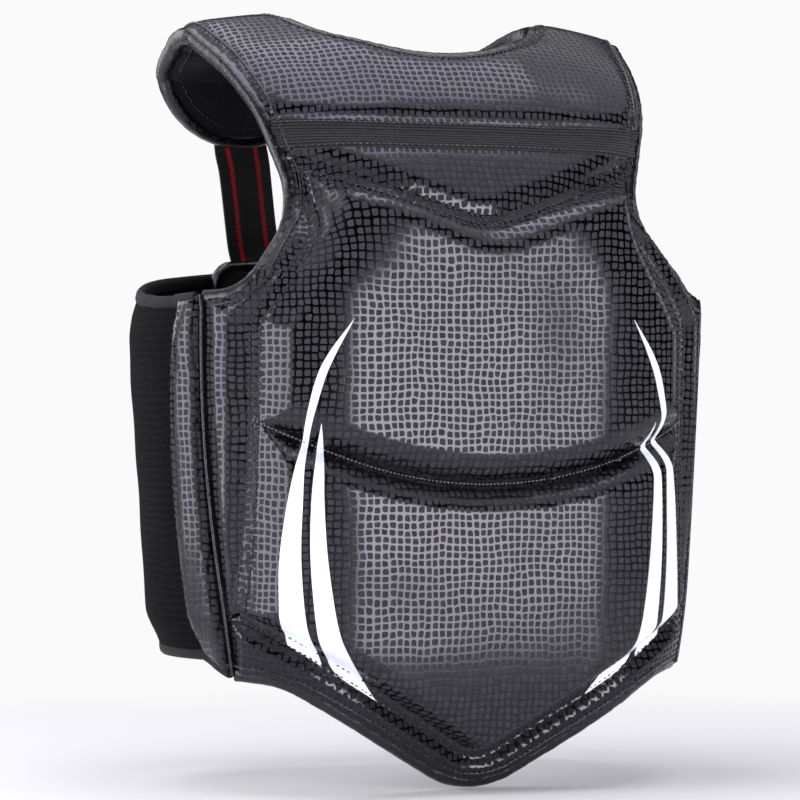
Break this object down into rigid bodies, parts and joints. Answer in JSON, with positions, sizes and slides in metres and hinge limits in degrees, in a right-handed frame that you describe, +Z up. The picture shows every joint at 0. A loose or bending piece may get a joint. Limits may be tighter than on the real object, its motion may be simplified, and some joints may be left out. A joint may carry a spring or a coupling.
{
  "type": "chest protector",
  "caption": "Padded front vest with raised chest and abdomen pads, shoulder tongues, elastic straps, a back panel and hook-and-loop side wings.",
  "frame": {"origin": "on the torso's axis, at the height of the shoulder rest", "axes": "+Z up; the wearer faces -Y; the wearer's left is +X"},
  "size_m": [0.3674, 0.2355, 0.4701],
  "materials": {
    "embossed_leather": "glossy PU leather, embossed with a small square grid",
    "wing_leather": "glossy smooth PU leather",
    "binding_leather": "soft glossy PU edge tape",
    "foam": "closed-cell EVA foam",
    "lining_fabric": "matte polyester lining",
    "woven_tape": "woven polyester webbing",
    "fabric_tape": "woven polyester edge tape",
    "elastic": "black woven elastic with two red lines",
    "hook_and_loop": "nylon hook and loop",
    "mesh_fabric": "knitted spacer mesh"
  },
  "bodies": {
    "front_panel": {"yoke_cover": "embossed_leather", "chest_cover": "embossed_leather", "abdomen_cover": "embossed_leather", "hem_cover": "embossed_leather", "yoke_foam": "foam", "chest_foam": "foam", "abdomen_foam": "foam", "hem_foam": "foam", "body_lining": "lining_fabric", "chest_tape": "woven_tape", "neck_binding": "binding_leather", "hem_binding": "binding_leather", "back_cover": "embossed_leather", "back_foam": "foam", "back_lining": "lining_fabric", "back_binding": "fabric_tape", "flank_cover_left": "embossed_leather", "flank_foam_left": "foam", "side_piping_left": "binding_leather", "shoulder_foam_left": "foam", "shoulder_lining_left": "lining_fabric", "armhole_binding_left": "binding_leather", "elastic_strap_left": "elastic", "loop_field_left": "hook_and_loop", "flank_cover_right": "embossed_leather", "flank_foam_right": "foam", "side_piping_right": "binding_leather", "shoulder_foam_right": "foam", "shoulder_lining_right": "lining_fabric", "armhole_binding_right": "binding_leather", "elastic_strap_right": "elastic", "loop_field_right": "hook_and_loop"},
    "wing_left": {"wing_cover_left": "wing_leather", "wing_foam_left": "foam", "wing_lining_left": "lining_fabric", "wing_binding_left": "fabric_tape"},
    "belt_left": {"mesh_belt_left": "mesh_fabric", "belt_binding_left": "fabric_tape", "hook_patch_left": "hook_and_loop"},
    "wing_right": {"wing_cover_right": "wing_leather", "wing_foam_right": "foam", "wing_lining_right": "lining_fabric", "wing_binding_right": "fabric_tape"},
    "belt_right": {"mesh_belt_right": "mesh_fabric", "belt_binding_right": "fabric_tape", "hook_patch_right": "hook_and_loop"}
  },
  "joints": [
    {"name": "wing_swing_left", "type": "hinge", "parent": "front_panel", "child": "wing_left", "pos_m": [0.14627, -0.06702, -0.38], "axis": [-0.0917, -0.0275, -0.9954], "range_deg": [0, 95]},
    {"name": "belt_fold_left", "type": "hinge", "parent": "wing_left", "child": "belt_left", "pos_m": [0.16079, -0.04332, -0.38], "axis": [-0.0738, -0.0181, -0.9971], "range_deg": [0, 70]},
    {"name": "wing_swing_right", "type": "hinge", "parent": "front_panel", "child": "wing_right", "pos_m": [-0.14627, -0.06702, -0.38], "axis": [-0.0917, 0.0275, 0.9954], "range_deg": [0, 95]},
    {"name": "belt_fold_right", "type": "hinge", "parent": "wing_right", "child": "belt_right", "pos_m": [-0.16079, -0.04332, -0.38], "axis": [-0.0738, 0.0181, 0.9971], "range_deg": [0, 70]}
  ]
}
